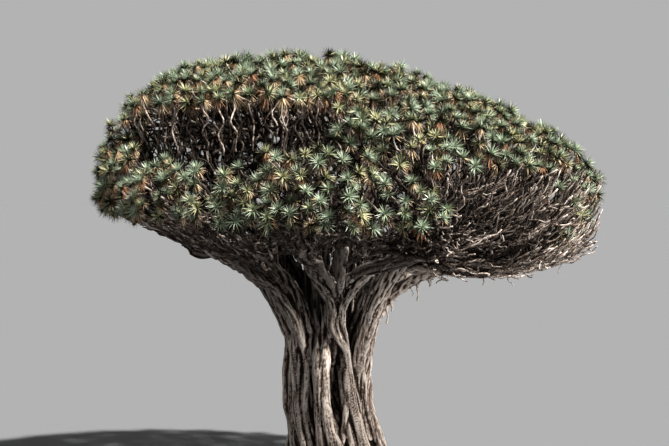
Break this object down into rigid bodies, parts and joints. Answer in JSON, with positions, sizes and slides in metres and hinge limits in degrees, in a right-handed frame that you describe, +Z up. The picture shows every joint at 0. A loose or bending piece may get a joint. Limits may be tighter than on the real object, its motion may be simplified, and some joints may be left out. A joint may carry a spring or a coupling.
{
  "type": "dragon blood tree",
  "caption": "Very old dragon blood tree: fluted trunk with flared foot, boughs fanning out into a broad umbrella of stiff, spiky leaf rosettes",
  "frame": {"origin": "on the ground at the middle of the trunk's foot, at the mount named ground", "axes": "+Z up; seen from -Y as in the picture, with +X to the right"},
  "size_m": [20.1759, 20.1468, 17.3123],
  "materials": {
    "bark": "rough fissured grey-brown bark",
    "foliage": "satin stiff sword-shaped leaves"
  },
  "bodies": {
    "root": {"trunk": "bark", "bough_1": "bark", "bough_2": "bark", "bough_3": "bark", "bough_4": "bark", "bough_5": "bark", "bough_6": "bark", "bough_7": "bark", "bough_inner_1": "bark", "bough_inner_2": "bark", "bough_inner_3": "bark", "limb_1a": "bark", "limb_1b": "bark", "limb_1c": "bark", "limb_2a": "bark", "limb_2b": "bark", "limb_2c": "bark", "limb_3a": "bark", "limb_3b": "bark", "limb_3c": "bark", "limb_4a": "bark", "limb_4b": "bark", "limb_4c": "bark", "limb_5a": "bark", "limb_5b": "bark", "limb_5c": "bark", "limb_6a": "bark", "limb_6b": "bark", "limb_6c": "bark", "limb_7a": "bark", "limb_7b": "bark", "limb_7c": "bark", "foliage_1a": "foliage", "foliage_1b": "foliage", "foliage_1c": "foliage", "foliage_2a": "foliage", "foliage_2b": "foliage", "foliage_2c": "foliage", "foliage_3a": "foliage", "foliage_3b": "foliage", "foliage_3c": "foliage", "foliage_4a": "foliage", "foliage_4b": "foliage", "foliage_4c": "foliage", "foliage_5a": "foliage", "foliage_5b": "foliage", "foliage_5c": "foliage", "foliage_6a": "foliage", "foliage_6b": "foliage", "foliage_6c": "foliage", "foliage_7a": "foliage", "foliage_7b": "foliage", "foliage_7c": "foliage", "foliage_top_1": "foliage", "foliage_top_2": "foliage", "foliage_top_3": "foliage"}
  },
  "joints": []
}
